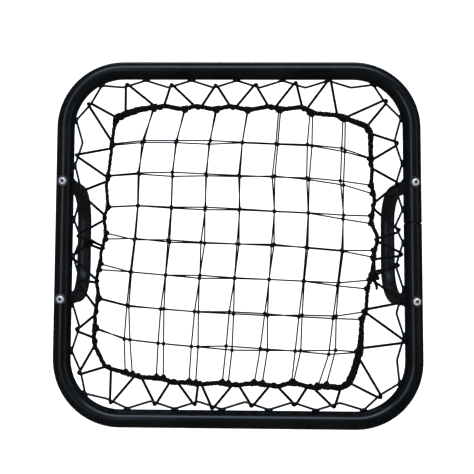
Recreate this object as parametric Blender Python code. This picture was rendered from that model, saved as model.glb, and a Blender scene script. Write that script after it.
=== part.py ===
"""Hand-held pitch back rebounder.

A rounded square of round steel tube carries a zigzag steel rod welded inside it. Elastic cord is laced
between the rod and the border rope of a double net. Two deep moulded handles are bolted behind the side
rails, one bolt in a cup washer at each foot.

Metres, +Z up. The net faces -Y and the handles stick out behind it, towards +Y. The origin is the middle
of the bottom rail's lowest face. Heights in the tables below are measured from the middle of the frame.
"""

import math

import bmesh
import bpy
from mathutils import Matrix, Vector

MM = 0.001
GAP = 0.0003

# Frame tube
FRAME_SIZE = 0.500
TUBE_RADIUS = 0.012
TUBE_WALL = 0.0015
TUBE_SIDES = 16
CORNER_RADIUS = 0.080
CORNER_STEPS = 10
FRAME_CENTRE_Z = FRAME_SIZE / 2
RAIL = FRAME_SIZE / 2 - TUBE_RADIUS
JOINT_HEIGHT = 0.0275
JOINT_GAP = 0.0004
SLEEVE_LENGTH = 0.060
SLEEVE_WALL = 0.0012

# Zigzag rods, welded to the inner side of the tube
ROD_RADIUS = 0.0016
ROD_DEPTH = 0.0110
ROD_BEND = 0.0035
INNER_SIDE = RAIL - TUBE_RADIUS
INNER_CORNER = CORNER_RADIUS - TUBE_RADIUS
LEFT_ROD_END = -0.021
RIGHT_ROD_END = 0.001
UPPER_FIRST_SPANS = (0.051, 0.0755)
UPPER_LAST_SPAN = 0.045
UPPER_EVEN_SPANS = 11
LOWER_SPANS = 13

# Net bed
ROPE_RADIUS = 0.00375
CORD_RADIUS = 0.0020
TWINE = 0.0015
NET_LINES = 7
NET_LAYER = 0.0023
ROPE_STEPS = 2
WRAP_ADVANCE = 0.011
HOOK_ADVANCE = 0.005
WRAP_STEPS = 3
KNOT_RADIUS = 0.0062

# Handles and their fastenings
HOLE_PITCH = 0.160
HANDLE_LIFT = 0.002
GRIP_DEPTH = 0.128
GRIP_WIDTH = 0.0185
GRIP_THICKNESS = 0.022
GRIP_SIDES = 12
HANDLE_BEND = 0.046
HANDLE_BEND_STEPS = 6
SADDLE_THICKNESS = 0.005
SADDLE_RADIUS = 0.0118
SADDLE_LIP = 0.0085
BOLT_RADIUS = 0.0028
BOLT_HOLE_RADIUS = 0.0033
BOLT_LENGTH = 0.044
HEAD_RADIUS = 0.0050
HEAD_HEIGHT = 0.0032
RECESS_RADIUS = 0.0019
RECESS_DEPTH = 0.0018
CUP_RADIUS = 0.0078
CUP_THICKNESS = 0.0026
CUP_SEAT_RADIUS = 0.0056
CUP_SEAT_DEPTH = 0.0012
INSERT_RADIUS = 0.0046
INSERT_LENGTH = 0.013

# The lacing, clockwise from above the left handle's foot, in millimetres from the middle of the frame.
# A row holds where the cord wraps the border rope, where it then hooks over the zigzag rod, and where
# the rope runs half-way to the next wrap.
LACING = [
    ((-174, 134), (-203, 191), (-172, 155)),
    ((-164, 177), (-158, 214), (-138, 184)),
    ((-109, 187), (-94, 214), (-84, 183)),
    ((-56, 188), (-33, 214), (-33, 183)),
    ((-8, 188), (27, 214), (16, 182)),
    ((46, 187), (80, 217), (65, 182)),
    ((89, 185), (141, 216), (110, 177)),
    ((135, 175), (201, 193), (162, 165)),
    ((181, 153), (215, 138), (182, 131)),
    ((184, 100), (215, 79), (182, 78)),
    ((187, 53), (217, 22), (182, 28)),
    ((191, 5), (219, -17), (188, -8)),
    ((186, -26), (215, -34), (184, -35)),
    ((182, -45), (218, -81), (176, -70)),
    ((174, -90), (218, -144), (169, -115)),
    ((164, -161), (193, -204), (154, -184)),
    ((138, -193), (132, -216), (119, -191)),
    ((99, -194), (76, -216), (75, -188)),
    ((50, -193), (18, -217), (26, -188)),
    ((-1, -192), (-39, -218), (-22, -188)),
    ((-49, -192), (-58, -216), (-66, -188)),
    ((-85, -190), (-112, -216), (-108, -184)),
    ((-134, -182), (-175, -213), (-154, -176)),
    ((-174, -170), (-212, -176), (-186, -155)),
    ((-193, -135), (-215, -117), (-192, -114)),
    ((-193, -95), (-217, -61), (-188, -74)),
    ((-192, -52), (-219, -42), (-187, -30)),
    ((-184, -9), (-215, 5), (-180, 11)),
    ((-184, 34), (-215, 68), (-179, 58)),
    ((-181, 77), (-218, 124), (-177, 107)),
]
UPPER_CORD_FIRST = 27
UPPER_CORD_LAST = 11
LOWER_CORD_FIRST = 12
LOWER_CORD_LAST = 26

# Middle of each knot where the two cords are tied, in millimetres: across, up and back
LEFT_KNOT = (-205, -12, 3)
RIGHT_KNOT = (198, -33, -2)

# Corner knots of the net, in millimetres from the middle of the frame
NET_TOP_LEFT = (-131, 139)
NET_TOP_RIGHT = (142, 129)
NET_BOTTOM_LEFT = (-151, -132)
NET_BOTTOM_RIGHT = (124, -149)
NET_RIGHT_BULGE = 10
NET_TOP_BULGE = 3

# Where the front net's lines end on each side of the rope, in millimetres from the middle of the frame,
# and how far along the back net's lines end. The back net has slipped down and to the right.
NET_ENDS = {
    "top": ((-119, -76, -31, 12, 56, 99, 143), 3),
    "bottom": ((-150, -108, -64, -19, 24, 75, 110), 9),
    "left": ((128, 92, 48, 13, -30, -76, -116), -8),
    "right": ((114, 76, 36, -11, -52, -97, -140), -8),
}
BACK_NET_SLIP = 8

TURN = 2 * math.pi
ALONG_Y = Matrix.Rotation(math.pi / 2, 4, "X")
FRAME_CENTRE = Vector((0, 0, FRAME_CENTRE_Z))
HANDLE_FOOT = TUBE_RADIUS + GAP + SADDLE_THICKNESS + GAP


def clear_scene():
    for thing in list(bpy.data.objects):
        bpy.data.objects.remove(thing, do_unlink=True)


def material(name, colour, roughness, metallic=0.0):
    finish = bpy.data.materials.new(name)
    finish.use_nodes = True
    shader = finish.node_tree.nodes["Principled BSDF"]
    shader.inputs["Base Color"].default_value = (*colour, 1.0)
    shader.inputs["Roughness"].default_value = roughness
    shader.inputs["Metallic"].default_value = metallic
    return finish


def add_object(name, data, finish, parent=None):
    thing = bpy.data.objects.new(name, data)
    bpy.context.scene.collection.objects.link(thing)
    thing.data.materials.append(finish)
    thing.parent = parent
    return thing


def mesh_object(name, bm, finish, parent=None):
    bmesh.ops.recalc_face_normals(bm, faces=bm.faces)
    mesh = bpy.data.meshes.new(name)
    bm.to_mesh(mesh)
    bm.free()
    mesh.shade_smooth()
    mesh.set_sharp_from_angle(angle=math.radians(40))
    return add_object(name, mesh, finish, parent)


def curve_object(name, points, radius, finish, parent=None, cyclic=False):
    """A round bar along straight runs between the points, with closed ends."""
    curve = bpy.data.curves.new(name, "CURVE")
    curve.dimensions = "3D"
    curve.bevel_depth = radius
    curve.bevel_resolution = 2
    curve.use_fill_caps = True
    spline = curve.splines.new("POLY")
    spline.points.add(len(points) - 1)
    for slot, point in zip(spline.points, points):
        slot.co = (*point, 1.0)
    spline.use_cyclic_u = cyclic
    return add_object(name, curve, finish, parent)


def from_middle(x, z, y=0.0):
    """A point given in millimetres from the middle of the frame, in metres from the origin."""
    return Vector((x * MM, y * MM, FRAME_CENTRE_Z + z * MM))


def to_sideways(vector, quarters):
    """The vector turned clockwise by quarter turns, as seen from the front."""
    x, z = vector.x, vector.z
    for _ in range(quarters):
        x, z = z, -x
    return Vector((x, vector.y, z))


# Swept and turned shapes


def add_ring(bm, centre, across, up, half_width, half_height, sides):
    """A ring of vertices whose flats lie at the given half width and half height."""
    spread = 1 / math.cos(math.pi / sides)
    ring = []
    for number in range(sides):
        angle = TURN * (number + 0.5) / sides
        sideways = across * (half_width * spread * math.cos(angle))
        upwards = up * (half_height * spread * math.sin(angle))
        ring.append(bm.verts.new(centre + sideways + upwards))
    return ring


def bridge(bm, first, second):
    for number, corner in enumerate(first):
        following = (number + 1) % len(first)
        bm.faces.new((corner, first[following], second[following], second[number]))


def turned(name, profile, sides, has_bore):
    """A mesh turned about the Y axis from (radius, distance along Y) points."""
    bm = bmesh.new()
    points = [bm.verts.new((radius, along, 0)) for radius, along in profile]
    pairs = list(zip(points, points[1:]))
    if has_bore:
        pairs.append((points[-1], points[0]))
    edges = [bm.edges.new(pair) for pair in pairs]
    bmesh.ops.spin(
        bm, geom=points + edges, cent=(0, 0, 0), axis=(0, 1, 0), dvec=(0, 0, 0), angle=TURN, steps=sides
    )
    bmesh.ops.remove_doubles(bm, verts=bm.verts, dist=1e-6)
    bmesh.ops.recalc_face_normals(bm, faces=bm.faces)
    mesh = bpy.data.meshes.new(name)
    bm.to_mesh(mesh)
    bm.free()
    mesh.shade_smooth()
    mesh.set_sharp_from_angle(angle=math.radians(40))
    return mesh


def cutter(name, radius, length, sides, axis_turn, location):
    """A guide cylinder for a Boolean cut; it isn't part of the object."""
    bm = bmesh.new()
    bmesh.ops.create_cone(bm, cap_ends=True, segments=sides, radius1=radius, radius2=radius, depth=length)
    bmesh.ops.transform(bm, matrix=axis_turn, verts=bm.verts)
    mesh = bpy.data.meshes.new(name)
    bm.to_mesh(mesh)
    bm.free()
    tool = bpy.data.objects.new(name, mesh)
    bpy.context.scene.collection.objects.link(tool)
    tool.location = location
    tool.display_type = "WIRE"
    tool.hide_render = True
    return tool


def cut_away(target, tool):
    cut = target.modifiers.new(tool.name, "BOOLEAN")
    cut.operation = "DIFFERENCE"
    cut.solver = "EXACT"
    cut.object = tool


# Paths round the frame


def straight_length():
    return 2 * (RAIL - CORNER_RADIUS)


def side_length():
    """One straight and one corner, measured along the inner side of the tube."""
    return straight_length() + INNER_CORNER * math.pi / 2


def round_frame(distance, inset):
    """The point lying inset from the tube's inner side, at a distance clockwise from the left rail's middle."""
    half = straight_length() / 2
    quarter, along = divmod(distance + half, side_length())
    if along <= 2 * half:
        local = Vector((inset - INNER_SIDE, 0, along - half))
    else:
        angle = (along - 2 * half) / INNER_CORNER
        outward = Vector((-math.cos(angle), 0, math.sin(angle)))
        local = Vector((-half, 0, half)) + outward * (INNER_CORNER - inset)
    return to_sideways(local, int(quarter) % 4) + FRAME_CENTRE


def nearest_on(path, point):
    """How far a point is from a path of straight runs, the nearest point on it and its direction there."""
    best = None
    for start, end in zip(path, path[1:]):
        run = end - start
        share = min(max((point - start).dot(run) / run.length_squared, 0), 1)
        foot = start + run * share
        miss = (foot - point).length
        if best is None or miss < best[0]:
            best = (miss, foot, run.normalized())
    return best


def outward_from(direction):
    """Square to a clockwise direction, away from the middle of the frame."""
    return Vector((-direction.z, 0, direction.x))


# Frame


def frame_stations():
    """Centre points and outward directions of the tube, clockwise from the joint and back to it."""
    half = straight_length() / 2
    right = Vector((1, 0, 0))
    stations = [(Vector((RAIL, 0, JOINT_HEIGHT - JOINT_GAP / 2)), right)]
    for corner in range(4):
        for step in range(CORNER_STEPS + 1):
            angle = math.pi / 2 * step / CORNER_STEPS
            outward = to_sideways(Vector((math.cos(angle), 0, -math.sin(angle))), corner)
            middle = to_sideways(Vector((half, 0, -half)), corner)
            stations.append((middle + outward * CORNER_RADIUS, outward))
    stations.append((Vector((RAIL, 0, JOINT_HEIGHT + JOINT_GAP / 2)), right))
    return [(point + FRAME_CENTRE, outward) for point, outward in stations]


def hollow_tube(bm, stations, radius, wall):
    depth = Vector((0, 1, 0))
    surfaces = []
    for size in (radius, radius - wall):
        rings = [add_ring(bm, point, outward, depth, size, size, TUBE_SIDES) for point, outward in stations]
        for first, second in zip(rings, rings[1:]):
            bridge(bm, first, second)
        surfaces.append(rings)
    outer, inner = surfaces
    bridge(bm, outer[0], inner[0])
    bridge(bm, outer[-1], inner[-1])


def hole_places():
    """The name and middle of each bolt hole, on the tube's centre line."""
    places = []
    for side_name, side in (("left", -1), ("right", 1)):
        for level_name, level in (("upper", 1), ("lower", -1)):
            height = HANDLE_LIFT + level * HOLE_PITCH / 2
            places.append((f"{side_name}_{level_name}", Vector((side * RAIL, 0, height)) + FRAME_CENTRE))
    return places


def make_frame(steel, zinc):
    bm = bmesh.new()
    hollow_tube(bm, frame_stations(), TUBE_RADIUS, TUBE_WALL)
    tube = mesh_object("frame_tube", bm, steel)
    for name, place in hole_places():
        tool = cutter(f"{name}_hole_cutter", BOLT_HOLE_RADIUS, 4 * TUBE_RADIUS, 12, ALONG_Y, place)
        cut_away(tube, tool)

    sleeve_ends = [JOINT_HEIGHT - SLEEVE_LENGTH / 2, JOINT_HEIGHT + SLEEVE_LENGTH / 2]
    right = Vector((1, 0, 0))
    stations = [(Vector((RAIL, 0, height)) + FRAME_CENTRE, right) for height in sleeve_ends]
    bm = bmesh.new()
    hollow_tube(bm, stations, TUBE_RADIUS - TUBE_WALL - GAP, SLEEVE_WALL)
    mesh_object("frame_joint_sleeve", bm, zinc)


# Zigzag rods


def weld_distances(start, end, first_spans, last_spans, even_spans):
    """Distances round the frame where a rod touches the tube, with even spans between the given ones."""
    even = (end - start - sum(first_spans) - sum(last_spans)) / even_spans
    spans = [*first_spans, *[even] * even_spans, *last_spans]
    return [start + sum(spans[:number]) for number in range(len(spans) + 1)]


def rod_path(welds):
    touching = ROD_RADIUS + GAP
    path = []
    for weld, following in zip(welds, welds[1:]):
        middle = (weld + following) / 2
        path.append(round_frame(weld + ROD_BEND, touching))
        path.append(round_frame(middle - ROD_BEND, ROD_DEPTH))
        path.append(round_frame(middle + ROD_BEND, ROD_DEPTH))
        path.append(round_frame(following - ROD_BEND, touching))
    return path


def rod_paths():
    """The centre lines of the upper and the lower rod, both clockwise."""
    left_end = LEFT_ROD_END
    right_end = 2 * side_length() - RIGHT_ROD_END
    round_again = 4 * side_length() + LEFT_ROD_END
    upper = weld_distances(left_end, right_end, UPPER_FIRST_SPANS, [UPPER_LAST_SPAN], UPPER_EVEN_SPANS)
    lower = weld_distances(right_end, round_again, [], [], LOWER_SPANS)
    return rod_path(upper), rod_path(lower)


# Net bed


def rope_points():
    """The border rope's route, clockwise: a wrap of the lacing, then the point half-way to the next wrap."""
    route = []
    for wrap, _, between in LACING:
        route += [from_middle(*wrap), from_middle(*between)]
    return route


def smooth_loop(points, steps):
    """Points on a smooth closed curve through the given ones."""
    smooth = []
    count = len(points)
    for number in range(count):
        before, start, end, after = (points[(number + shift) % count] for shift in (-1, 0, 1, 2))
        for step in range(steps):
            t = step / steps
            bend = (end - before) * t + (before * 2 - start * 5 + end * 4 - after) * t**2
            bend += (start * 3 - before - end * 3 + after) * t**3
            smooth.append(start + bend / 2)
    return smooth


def half_turn(middle, along, side, radius, advance, start_angle, end_angle):
    """Points of a cord passing round a bar, from behind or in front of it, round the given side."""
    points = []
    for step in range(WRAP_STEPS + 1):
        share = step / WRAP_STEPS
        angle = start_angle + (end_angle - start_angle) * share
        around = side * math.cos(angle) + Vector((0, 1, 0)) * math.sin(angle)
        points.append(middle + along * (advance * (share - 0.5)) + around * radius)
    return points


def clear_radius(bar_radius):
    """How far from a bar's centre line a cord's corner points lie, so that its straight runs clear the bar."""
    return (bar_radius + CORD_RADIUS + GAP) / math.cos(math.pi / WRAP_STEPS / 2)


def wrap_rope(row):
    """Round the net side of the rope, from the back to the front."""
    count = len(LACING)
    before = from_middle(*LACING[(row - 1) % count][2])
    after = from_middle(*LACING[row % count][2])
    along = (after - before).normalized()
    middle = from_middle(*LACING[row % count][0])
    radius = clear_radius(ROPE_RADIUS)
    return half_turn(middle, along, -outward_from(along), radius, WRAP_ADVANCE, math.pi / 2, -math.pi / 2)


def hook_over_rod(row, rods):
    """Round the tube side of the nearer rod, from the front to the back."""
    point = from_middle(*LACING[row % len(LACING)][1])
    _, middle, along = min(nearest_on(rod, point) for rod in rods)
    radius = clear_radius(ROD_RADIUS)
    return half_turn(middle, along, outward_from(along), radius, HOOK_ADVANCE, -math.pi / 2, math.pi / 2)


def knot_side(knot, towards):
    """Where a cord that comes from a point ends against a knot."""
    return knot + (towards - knot).normalized() * (KNOT_RADIUS + GAP)


def lacing_routes():
    """The routes of the upper cord, from the left knot to the right one, and of the lower cord back."""
    rods = rod_paths()
    left_knot, right_knot = from_middle(*LEFT_KNOT), from_middle(*RIGHT_KNOT)

    upper = []
    for row in range(UPPER_CORD_FIRST, len(LACING) + UPPER_CORD_LAST + 1):
        upper += wrap_rope(row) + hook_over_rod(row, rods)
    upper += wrap_rope(UPPER_CORD_LAST + 1)
    upper = [knot_side(left_knot, upper[0]), *upper, knot_side(right_knot, upper[-1])]

    lower = hook_over_rod(LOWER_CORD_FIRST, rods)
    for row in range(LOWER_CORD_FIRST + 1, LOWER_CORD_LAST + 1):
        lower += wrap_rope(row) + hook_over_rod(row, rods)
    lower = [knot_side(right_knot, lower[0]), *lower, knot_side(left_knot, lower[-1])]
    return upper, lower, left_knot, right_knot


def make_lacing(elastic):
    upper, lower, left_knot, right_knot = lacing_routes()
    curve_object("upper_lacing_cord", upper, CORD_RADIUS, elastic)
    curve_object("lower_lacing_cord", lower, CORD_RADIUS, elastic)
    for name, place in (("left_tie_knot", left_knot), ("right_tie_knot", right_knot)):
        bm = bmesh.new()
        bmesh.ops.create_icosphere(bm, subdivisions=2, radius=KNOT_RADIUS)
        mesh_object(name, bm, elastic).location = place


def net_knot(across, down, slip):
    """A place on the net: across and down run from 0 at the first knot to 1 at the last."""
    top = Vector(NET_TOP_LEFT).lerp(Vector(NET_TOP_RIGHT), across)
    bottom = Vector(NET_BOTTOM_LEFT).lerp(Vector(NET_BOTTOM_RIGHT), across)
    place = top.lerp(bottom, down)
    place.x += NET_RIGHT_BULGE * across * 4 * down * (1 - down) + slip * down**3
    place.y += NET_TOP_BULGE * 4 * across * (1 - across) * (1 - down) - slip / 2 * down**3
    return from_middle(place.x, place.y)


def rope_place(side, along, rope):
    """The rope's centre on a side of the net, at a distance across or up in millimetres."""
    crossing = []
    for start, end in zip(rope, rope[1:] + rope[:1]):
        first, last = start - FRAME_CENTRE, end - FRAME_CENTRE
        low, high = (first.x, last.x) if side in ("top", "bottom") else (first.z, last.z)
        share = (along * MM - low) / (high - low) if high != low else -1
        if 0 <= share <= 1:
            crossing.append(start.lerp(end, share))
    if side in ("top", "bottom"):
        crossing.sort(key=lambda point: point.z)
    else:
        crossing.sort(key=lambda point: -point.x)
    return crossing[-1] if side in ("top", "left") else crossing[0]


def reach_rope(knot, place, rope):
    """Where a net line from a knot towards a place on the rope stops against the rope's side."""
    _, _, along = nearest_on(rope + rope[:1], place)
    heading = (place - knot).normalized()
    slant = abs(heading.x * along.z - heading.z * along.x)
    return place - heading * ((ROPE_RADIUS + GAP + TWINE / 2) / slant)


def net_grid(slipped, rope):
    """Knots by row and column, with the ends of the lines as the first and last of each."""
    last = NET_LINES - 1
    slip = BACK_NET_SLIP if slipped else 0
    knots = {}
    for row in range(NET_LINES):
        for column in range(NET_LINES):
            knots[row, column] = net_knot(column / last, row / last, slip)
    for side, (ends, shift) in NET_ENDS.items():
        for line, end in enumerate(ends):
            outer = {"top": (0, line), "bottom": (last, line), "left": (line, 0), "right": (line, last)}[side]
            edge = {"top": (-1, line), "bottom": (NET_LINES, line), "left": (line, -1), "right": (line, NET_LINES)}
            place = rope_place(side, end + shift if slipped else end, rope)
            knots[edge[side]] = reach_rope(knots[outer], place, rope)
    return knots


def net_mesh(knots, layer):
    """A flat lattice of square twine, one closed body."""
    bm = bmesh.new()
    half = TWINE / 2
    corners = {}
    for place, knot in knots.items():
        row, column = place
        wide = half if 0 <= column < NET_LINES else 0
        tall = half if 0 <= row < NET_LINES else 0
        for x_side in {-1, 1} if wide else {0}:
            for z_side in {-1, 1} if tall else {0}:
                for face in (-1, 1):
                    spot = knot + Vector((x_side * wide, layer + face * half, z_side * tall))
                    corners[place, x_side, z_side, face] = bm.verts.new(spot)

    def corner(place, x_side, z_side, face):
        row, column = place
        x_side = x_side if 0 <= column < NET_LINES else 0
        z_side = z_side if 0 <= row < NET_LINES else 0
        return corners[place, x_side, z_side, face]

    around = ((-1, -1), (1, -1), (1, 1), (-1, 1))
    for row in range(NET_LINES):
        for column in range(NET_LINES):
            place = (row, column)
            for face in (-1, 1):
                bm.faces.new([corner(place, x_side, z_side, face) for x_side, z_side in around])

    for line in range(NET_LINES):
        for step in range(-1, NET_LINES):
            left, right = (line, step), (line, step + 1)
            ring = [(z_side, face) for z_side, face in around]
            first = [corner(left, 1, z_side, face) for z_side, face in ring]
            second = [corner(right, -1, z_side, face) for z_side, face in ring]
            bridge(bm, first, second)
            above, below = (step, line), (step + 1, line)
            first = [corner(above, x_side, -1, face) for x_side, face in ring]
            second = [corner(below, x_side, 1, face) for x_side, face in ring]
            bridge(bm, first, second)
        for edge in (-1, NET_LINES):
            bm.faces.new([corner((line, edge), 0, z_side, face) for z_side, face in around])
            bm.faces.new([corner((edge, line), x_side, 0, face) for x_side, face in around])
    return bm


def make_net_bed(rope_finish, front_finish, back_finish):
    slide = bpy.data.objects.new("net_bed", None)
    slide.location = FRAME_CENTRE
    bpy.context.scene.collection.objects.link(slide)
    rope = smooth_loop(rope_points(), ROPE_STEPS)
    local_rope = [point - FRAME_CENTRE for point in rope]
    curve_object("border_rope", local_rope, ROPE_RADIUS, rope_finish, slide, cyclic=True)
    for name, layer, slipped, finish in (
        ("front_net", -NET_LAYER, False, front_finish),
        ("back_net", NET_LAYER, True, back_finish),
    ):
        bm = net_mesh(net_grid(slipped, rope), layer)
        bmesh.ops.translate(bm, verts=bm.verts, vec=-FRAME_CENTRE)
        mesh_object(name, bm, finish, slide)


# Handles and fastenings


def handle_stations():
    """Centre points and in-plane outward directions of a handle, from its lower to its upper foot."""
    foot = HANDLE_FOOT
    back = Vector((0, 1, 0))
    up = Vector((0, 0, 1))
    reach = HOLE_PITCH / 2
    stations = [(Vector((0, foot, -reach)), -up)]
    for level, first_side, last_side in ((-1, -up, back), (1, back, up)):
        middle = Vector((0, GRIP_DEPTH - HANDLE_BEND, level * (reach - HANDLE_BEND)))
        for step in range(HANDLE_BEND_STEPS + 1):
            angle = math.pi / 2 * step / HANDLE_BEND_STEPS
            outward = first_side * math.cos(angle) + last_side * math.sin(angle)
            stations.append((middle + outward * HANDLE_BEND, outward))
    stations.append((Vector((0, foot, reach)), up))
    return stations


def handle_mesh():
    bm = bmesh.new()
    across = Vector((1, 0, 0))
    half_width, half_thickness = GRIP_WIDTH / 2, GRIP_THICKNESS / 2
    rings = [
        add_ring(bm, point, across, outward, half_width, half_thickness, GRIP_SIDES)
        for point, outward in handle_stations()
    ]
    for first, second in zip(rings, rings[1:]):
        bridge(bm, first, second)
    bm.faces.new(rings[0])
    bm.faces.new(rings[-1])
    return bm


def make_handles(plastic):
    for side_name, side in (("left", -1), ("right", 1)):
        handle = mesh_object(f"{side_name}_handle", handle_mesh(), plastic)
        handle.location = FRAME_CENTRE + Vector((side * RAIL, 0, HANDLE_LIFT))
        for name, place in hole_places():
            if name.startswith(side_name):
                bore = place + Vector((0, HANDLE_FOOT, 0))
                length = 2 * (INSERT_LENGTH + 4 * GAP)
                tool = cutter(f"{name}_bore_cutter", INSERT_RADIUS + GAP, length, 12, ALONG_Y, bore)
                cut_away(handle, tool)


def make_fastenings(plastic, rubber, zinc, brass):
    head_base = -(TUBE_RADIUS + GAP + CUP_THICKNESS - CUP_SEAT_DEPTH + GAP)
    head_top = -HEAD_HEIGHT
    bolt_profile = [
        (0, head_top + RECESS_DEPTH),
        (RECESS_RADIUS, head_top + RECESS_DEPTH),
        (RECESS_RADIUS, head_top),
        (HEAD_RADIUS * 0.6, head_top),
        (HEAD_RADIUS * 0.9, head_top * 0.7),
        (HEAD_RADIUS, head_top * 0.3),
        (HEAD_RADIUS, 0),
        (BOLT_RADIUS, 0),
        (BOLT_RADIUS, BOLT_LENGTH - BOLT_RADIUS / 3),
        (BOLT_RADIUS * 0.7, BOLT_LENGTH),
        (0, BOLT_LENGTH),
    ]
    cup_front = -CUP_THICKNESS
    cup_profile = [
        (BOLT_HOLE_RADIUS, 0),
        (CUP_RADIUS, 0),
        (CUP_RADIUS, cup_front * 0.4),
        (CUP_RADIUS * 0.88, cup_front),
        (CUP_SEAT_RADIUS, cup_front),
        (CUP_SEAT_RADIUS, cup_front + CUP_SEAT_DEPTH),
        (BOLT_HOLE_RADIUS, cup_front + CUP_SEAT_DEPTH),
    ]
    insert_profile = [
        (BOLT_RADIUS + GAP, 0),
        (INSERT_RADIUS, 0),
        (INSERT_RADIUS, INSERT_LENGTH),
        (BOLT_RADIUS + GAP, INSERT_LENGTH),
    ]
    bolt = turned("bolt", bolt_profile, 16, has_bore=False)
    cup = turned("cup_washer", cup_profile, 16, has_bore=True)
    insert = turned("threaded_insert", insert_profile, 12, has_bore=True)
    for name, place in hole_places():
        add_object(f"{name}_bolt", bolt, zinc).location = place + Vector((0, head_base, 0))
        add_object(f"{name}_cup_washer", cup, rubber).location = place - Vector((0, TUBE_RADIUS + GAP, 0))
        add_object(f"{name}_threaded_insert", insert, brass).location = place + Vector((0, HANDLE_FOOT + GAP, 0))
        make_saddle(name, place, plastic)


def make_saddle(name, place, plastic):
    """A moulded pad between the tube and a handle's foot, hollowed to sit round the tube."""
    front, back = SADDLE_LIP, HANDLE_FOOT - GAP
    bm = bmesh.new()
    bmesh.ops.create_cone(
        bm, cap_ends=True, segments=16, radius1=SADDLE_RADIUS, radius2=SADDLE_RADIUS, depth=back - front
    )
    bmesh.ops.transform(bm, matrix=ALONG_Y, verts=bm.verts)
    bmesh.ops.translate(bm, vec=(0, (front + back) / 2, 0), verts=bm.verts)
    saddle = mesh_object(f"{name}_handle_saddle", bm, plastic)
    saddle.location = place
    tube_space = (TUBE_RADIUS + GAP) / math.cos(math.pi / TUBE_SIDES)
    half_side = Matrix.Rotation(math.pi / TUBE_SIDES, 4, "Z")
    length = 4 * SADDLE_RADIUS
    cut_away(saddle, cutter(f"{name}_tube_cutter", tube_space, length, TUBE_SIDES, half_side, place))
    cut_away(saddle, cutter(f"{name}_bolt_cutter", BOLT_HOLE_RADIUS, 2 * length, 12, ALONG_Y, place))


def main():
    clear_scene()
    steel = material("powder_coated_steel", (0.012, 0.013, 0.016), 0.32)
    rod_steel = material("powder_coated_rod", (0.012, 0.013, 0.016), 0.38)
    sleeve_steel = material("bare_steel", (0.45, 0.45, 0.44), 0.4, 1.0)
    zinc = material("bright_zinc", (0.78, 0.79, 0.80), 0.2, 1.0)
    brass = material("brass", (0.78, 0.60, 0.28), 0.35, 1.0)
    plastic = material("handle_plastic", (0.010, 0.010, 0.011), 0.3)
    rubber = material("washer_plastic", (0.015, 0.015, 0.016), 0.45)
    rope = material("whipped_rope", (0.010, 0.010, 0.011), 0.85)
    elastic = material("elastic_cord", (0.012, 0.012, 0.013), 0.75)
    front_twine = material("front_twine", (0.014, 0.014, 0.015), 0.7)
    back_twine = material("back_twine", (0.018, 0.018, 0.019), 0.7)

    make_frame(steel, sleeve_steel)
    upper_rod, lower_rod = rod_paths()
    curve_object("upper_zigzag_rod", upper_rod, ROD_RADIUS, rod_steel)
    curve_object("lower_zigzag_rod", lower_rod, ROD_RADIUS, rod_steel)
    make_net_bed(rope, front_twine, back_twine)
    make_lacing(elastic)
    make_handles(plastic)
    make_fastenings(plastic, rubber, zinc, brass)


main()
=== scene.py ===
"""The looks of the hand-held pitch back rebounder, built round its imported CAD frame."""

import math

import bmesh
import bpy
import numpy as np
from mathutils import Matrix, Vector, noise


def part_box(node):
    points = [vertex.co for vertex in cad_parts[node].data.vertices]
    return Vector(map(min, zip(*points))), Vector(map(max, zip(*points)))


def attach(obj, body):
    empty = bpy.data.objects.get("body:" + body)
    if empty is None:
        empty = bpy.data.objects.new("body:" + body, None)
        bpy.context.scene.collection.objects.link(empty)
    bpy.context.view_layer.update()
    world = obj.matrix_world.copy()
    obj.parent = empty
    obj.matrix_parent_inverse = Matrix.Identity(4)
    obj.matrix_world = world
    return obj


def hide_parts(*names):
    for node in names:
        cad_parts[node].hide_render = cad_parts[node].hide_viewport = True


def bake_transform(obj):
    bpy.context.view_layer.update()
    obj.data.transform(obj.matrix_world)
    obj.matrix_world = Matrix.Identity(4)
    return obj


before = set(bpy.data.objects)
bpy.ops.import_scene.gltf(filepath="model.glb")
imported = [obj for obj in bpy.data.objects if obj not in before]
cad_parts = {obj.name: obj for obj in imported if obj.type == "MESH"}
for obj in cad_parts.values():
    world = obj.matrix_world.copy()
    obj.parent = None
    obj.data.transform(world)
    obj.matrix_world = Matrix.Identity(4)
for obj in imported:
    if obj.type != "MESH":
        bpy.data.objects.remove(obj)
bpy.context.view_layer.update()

MM = 0.001
TURN = 2 * math.pi
BACK = Vector((0, 1, 0))
UP = Vector((0, 0, 1))

# Sizes read from the CAD frame
TUBE_LOW, TUBE_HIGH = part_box("frame_tube")
TUBE_RADIUS = (TUBE_HIGH.y - TUBE_LOW.y) / 2
FRAME_SIZE = TUBE_HIGH.x - TUBE_LOW.x
FRAME_CENTRE = (TUBE_LOW + TUBE_HIGH) / 2
RAIL = FRAME_SIZE / 2 - TUBE_RADIUS
ROD_LOW, ROD_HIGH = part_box("upper_zigzag_rod")
ROD_RADIUS = (ROD_HIGH.y - ROD_LOW.y) / 2
ROPE_LOW, ROPE_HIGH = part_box("border_rope")
ROPE_RADIUS = (ROPE_HIGH.y - ROPE_LOW.y) / 2
GRIP_LOW, GRIP_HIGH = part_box("left_handle")
GRIP_WIDTH = GRIP_HIGH.x - GRIP_LOW.x
FRONT_NET_LAYER = sum(corner.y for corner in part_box("front_net")) / 2
BACK_NET_LAYER = sum(corner.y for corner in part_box("back_net")) / 2

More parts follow.
